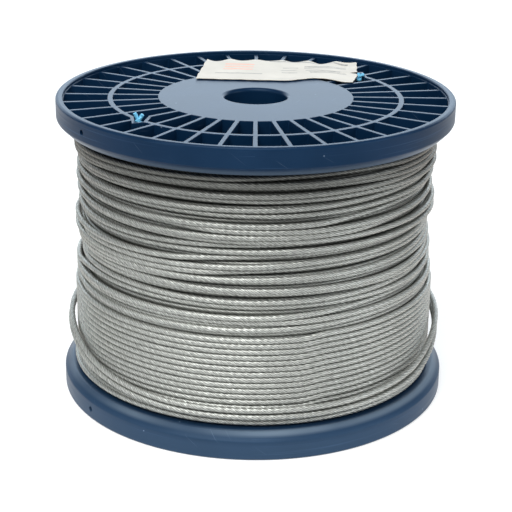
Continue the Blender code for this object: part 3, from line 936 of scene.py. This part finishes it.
class ROPEREEL_OT_studio(bpy.types.Operator):
    """Set up the camera, the pale floor, the soft lights and the white surroundings"""
    bl_idname = "ropereel.studio"
    bl_label = "Add studio"

    def execute(self, context):
        studio = context.scene.rope_reel_studio
        eye = bpy.data.cameras.new("product_camera")
        eye.lens = studio.lens
        eye.sensor_width = 36
        eye.clip_end = 20
        camera = placed("product_camera", eye)
        turn = (Matrix.Rotation(-CAMERA_YAW, 4, 'Z') @ Matrix.Rotation(pi / 2 - studio.pitch, 4, 'X')
                @ Matrix.Rotation(studio.roll, 4, 'Z'))
        camera.matrix_world = Matrix.Translation(CAMERA_PLACE) @ turn
        context.scene.camera = camera

        bm = bmesh.new()
        bmesh.ops.create_circle(bm, cap_ends=True, segments=96, radius=studio.floor_radius,
                                matrix=Matrix.Translation((0, 0, -FLOOR_GAP)))
        floor = placed("floor", mesh_of("floor", bm, False))
        floor.data.materials.append(white_floor(studio))

        for name, place, size, power, tint in STUDIO_LIGHTS:
            lamp = bpy.data.lights.new(name, 'AREA')
            lamp.shape = 'RECTANGLE'
            lamp.size, lamp.size_y = size
            lamp.energy = getattr(studio, power)
            lamp.color = tint
            aim = (Vector((0, 0, HALF_H)) - Vector(place)).to_track_quat('-Z', 'Y').to_matrix().to_4x4()
            placed(name, lamp).matrix_world = Matrix.Translation(place) @ aim

        world = bpy.data.worlds.new("white_surroundings")
        world.use_nodes = True
        feed(world.node_tree, world.node_tree.nodes["Background"],
             {"Color": (1, 1, 1, 1), "Strength": studio.surround})
        context.scene.world = world
        context.scene.view_settings.view_transform = 'Standard'
        return {'FINISHED'}


class ROPEREEL_OT_flanges(bpy.types.Operator):
    """Make the two reel halves with their fine edges, in place of the model's plain ones"""
    bl_idname = "ropereel.flanges"
    bl_label = "Add reel halves"

    def execute(self, context):
        reel = context.scene.rope_reel_body
        finish = moulded_plastic(reel)
        upper = reel_half_mesh(reel)
        lower = upper.copy()
        raised = Matrix.Translation((0, 0, HALF_H))
        lower.transform(raised @ Matrix.Rotation(pi, 4, around(ROPE_HOLE_ANGLE, 1.0).to_3d()))
        upper.transform(raised)
        add_piece("moulded_reel_half_upper", upper, finish, "reel_plastic", "reel_half_upper")
        add_piece("moulded_reel_half_lower", lower, finish, "reel_plastic", "reel_half_lower")
        return {'FINISHED'}


class ROPEREEL_OT_packing(bpy.types.Operator):
    """Make the deep turns of the winding as one ridged, turned body, and the layer above it"""
    bl_idname = "ropereel.packing"
    bl_label = "Add inner rope"

    def execute(self, context):
        rope = context.scene.rope_reel_rope
        low, high = WINDING_LOW.z, WINDING_HIGH.z
        turns = int((high - low) / rope.diameter)
        pitch = (high - low) / turns
        profile = [(BARREL_R + FIT, low)]
        for k in range(turns):
            for share in (0.0, 0.15, 0.35, 0.5, 0.65, 0.85):
                z = low + (k + share) * pitch
                crest = CORE_RADIUS + (NEAT_CORE_RADIUS - CORE_RADIUS) * neatness(z)
                groove = rope.diameter / 2 * (1 - sqrt(max(0, 1 - (2 * share - 1) ** 2)))
                profile.append((crest - groove, z))
        profile.append((BARREL_R + FIT, high))
        bm = bmesh.new()
        add_turned(bm, profile, 144)
        core = mesh_of("wire_rope_core", bm)
        core.shade_smooth()
        core.set_sharp_from_angle(angle=radians(60))
        add_piece("wire_rope_core", core, packed_rope(rope), "wire_rope", "wire_rope_winding")
        # The inner layer gets a darker copy of the rope's finish, a tenth darker, as painted shade where it
        # lies under the outer turns
        finish = galvanised_rope(rope, "galvanised_steel_rope_inner", 0.9)
        path = under_path(rope)
        half = rope.under_turns // 2
        add_turns("wire_rope_under_a", path, 0, half, rope, finish, crest_points=1)
        add_turns("wire_rope_under_b", path, half, rope.under_turns, rope, finish, crest_points=1)
        return {'FINISHED'}


class ROPEREEL_OT_outer_rope(bpy.types.Operator):
    """Wind the turns that show: the even ones, the uneven ones above them and the loose ones below"""
    bl_idname = "ropereel.outer_rope"
    bl_label = "Add outer rope"

    def execute(self, context):
        rope = context.scene.rope_reel_rope
        finish = galvanised_rope(rope, "galvanised_steel_rope")
        neat = neat_path(rope)
        add_turns("wire_rope_even_turns", neat, 0, rope.neat_turns, rope, finish)
        upper = upper_path(rope, [row[-1] for row in neat])
        half = rope.upper_turns // 2
        add_turns("wire_rope_uneven_turns_a", upper, 0, half, rope, finish)
        add_turns("wire_rope_uneven_turns_b", upper, half, rope.upper_turns, rope, finish)
        theta, radius, height = slack_path(rope)
        points = on_reel(theta, radius, height)
        mesh = tube("wire_rope_loose_turns", points, rope.diameter, rope.strands, rope.lay)
        add_piece("wire_rope_loose_turns", mesh, finish, "wire_rope")
        return {'FINISHED'}


def label_edges(u, v):
    """Left, right, near and far edges of the paper, as offsets in millimetres from its plain box."""
    left = 0.5 + 0.12 * np.sin(23 * v) + 1.4 * v
    notch = np.exp(-((v - 0.44) / 0.035) ** 2) * 2.6
    right = 0.1 + 0.15 * np.sin(31 * v + 1) + notch + 1.6 * smooth_step(0.35 - v, 0, 0.35)
    near = 0.2 + 0.10 * np.sin(29 * u) + 5.0 * smooth_step(u, 0.55, 0.78) * (
        1 - smooth_step(u, 0.80, 0.97))
    far = 0.3 + 0.14 * np.sin(43 * u) + 0.10 * np.sin(91 * u + 2)
    return left, right, near, far


class ROPEREEL_OT_label(bpy.types.Operator):
    """Lay the torn paper label on the ribs, where it dips between them"""
    bl_idname = "ropereel.label"
    bl_label = "Add label"

    def execute(self, context):
        label = context.scene.rope_reel_label
        reel = context.scene.rope_reel_body
        bm = bmesh.new()
        layer = bm.loops.layers.uv.new("label")
        bmesh.ops.create_grid(bm, x_segments=180, y_segments=100, size=0.5, calc_uvs=False)
        turn = Matrix.Rotation(LABEL_TURN, 2)
        middle = Vector(((LABEL_LOW.x + LABEL_HIGH.x) / 2, (LABEL_LOW.y + LABEL_HIGH.y) / 2))
        for face in bm.faces:
            for loop in face.loops:
                loop[layer].uv = (loop.vert.co.x + 0.5, loop.vert.co.y + 0.5)
        for corner in bm.verts:
            u, v = corner.co.x + 0.5, corner.co.y + 0.5
            left, right, near, far = label_edges(u, v)
            x = -LABEL_W / 2 + left * MM + u * (LABEL_W - (left + right) * MM)
            y = -LABEL_D / 2 + near * MM + v * (LABEL_D - (near + far) * MM)
            flat = middle + turn @ Vector((x, y))
            corner.co = (*flat, LABEL_LOW.z + label_height(label, reel, flat, u, v))
        mesh = mesh_of("torn_paper_label", bm, False)
        mesh.shade_smooth()
        piece = add_piece("torn_paper_label", mesh, label_paper(label), "label_paper", "paper_label")
        solid = piece.modifiers.new("paper thickness", 'SOLIDIFY')
        solid.thickness = LABEL_HIGH.z - LABEL_LOW.z
        solid.offset = 1.0
        return {'FINISHED'}


def label_height(label, reel, flat, u, v):
    """Height of the paper over the ribs: it dips between them beyond the ring, and its corner curls."""
    radius = flat.length
    angle = atan2(flat.x, flat.y)
    between_ribs = abs(sin(angle * reel.ribs / 2))
    beyond = float(smooth_step(radius, reel.ring_radius + 1 * MM, 60 * MM))
    inside = float(smooth_step(radius, BARREL_R, BARREL_R + 5 * MM)
                   * (1 - smooth_step(radius, reel.ring_radius - 5 * MM, reel.ring_radius - 1 * MM)))
    dip = between_ribs ** 1.5 * (label.sag * beyond + 0.12 * MM * inside)
    curl = 0.9 * MM * float(smooth_step(u, 0.86, 1.0) * smooth_step(v, 0.75, 1.0))
    crease = 0.025 * MM * sin(70 * u + 9 * v)
    return curl - dip + 0.05 * MM + crease


class ROPEREEL_OT_ties(bpy.types.Operator):
    """Tie the two short pieces of twine in their cells"""
    bl_idname = "ropereel.ties"
    bl_label = "Add twine ties"

    def execute(self, context):
        twine = context.scene.rope_reel_twine
        reel = context.scene.rope_reel_body
        finish = split_twine(twine)
        for name, node_name, angle, routes in TIES:
            spot = tie_spot(reel, angle)
            out = around(angle, 1.0)
            along = Vector((cos(angle), sin(angle)))
            bm = bmesh.new()
            for route in routes:
                points = []
                for a, o, up in smooth_route(route):
                    flat = spot + along * (a * MM) + out * (o * MM)
                    points.append((flat.x, flat.y, HALF_H + RIB_Z + up * MM))
                bm.from_mesh(tube(name, np.array(points), twine.diameter, TWINE_PLIES, TWINE_LAY,
                                  crest_points=3, valley=0.8))
            add_piece(name, mesh_of(name, bm, False), finish, "twine", node_name)
        return {'FINISHED'}


def smooth_route(route, parts=8):
    """Points along a smooth curve through a route's own points."""
    rows = [Vector(p) for p in route]
    rows = [2 * rows[0] - rows[1]] + rows + [2 * rows[-1] - rows[-2]]
    made = []
    for a, b, c, d in zip(rows, rows[1:], rows[2:], rows[3:]):
        for i in range(parts):
            t = i / parts
            made.append(0.5 * (2 * b + (c - a) * t + (2 * a - 5 * b + 4 * c - d) * t ** 2
                               + (3 * b - a - 3 * c + d) * t ** 3))
    return made + [rows[-2]]


class VIEW3D_PT_rope_reel(bpy.types.Panel):
    """Sidebar panel with the settings and one button for each group of pieces"""
    bl_label = "Rope reel"
    bl_space_type = 'VIEW_3D'
    bl_region_type = 'UI'
    bl_category = "Rope reel"

    def draw(self, context):
        for group, kind, operators in GROUPS:
            box = self.layout.box()
            settings = getattr(context.scene, group)
            for name in kind.__annotations__:
                box.prop(settings, name)
            for item in operators:
                box.operator(item.bl_idname)


# Each group of settings: its name on the scene, its class, and the operators that use it, in order
GROUPS = (
    ("rope_reel_studio", StudioSettings, (ROPEREEL_OT_studio,)),
    ("rope_reel_body", ReelSettings, (ROPEREEL_OT_flanges,)),
    ("rope_reel_rope", RopeSettings, (ROPEREEL_OT_packing, ROPEREEL_OT_outer_rope)),
    ("rope_reel_label", LabelSettings, (ROPEREEL_OT_label,)),
    ("rope_reel_twine", TwineSettings, (ROPEREEL_OT_ties,)),
)


def register():
    """Register the settings, the operators and the panel."""
    for name, kind, operators in GROUPS:
        for item in (kind, *operators):
            bpy.utils.register_class(item)
        setattr(bpy.types.Scene, name, PointerProperty(type=kind))
    bpy.utils.register_class(VIEW3D_PT_rope_reel)


def unregister():
    """Take them all away again."""
    bpy.utils.unregister_class(VIEW3D_PT_rope_reel)
    for name, kind, operators in reversed(GROUPS):
        delattr(bpy.types.Scene, name)
        for item in (*operators, kind):
            bpy.utils.unregister_class(item)


def main():
    """Register the add-on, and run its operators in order."""
    register()
    bpy.ops.ropereel.studio()
    bpy.ops.ropereel.flanges()
    bpy.ops.ropereel.packing()
    bpy.ops.ropereel.outer_rope()
    bpy.ops.ropereel.label()
    bpy.ops.ropereel.ties()


if __name__ == "__main__":
    main()
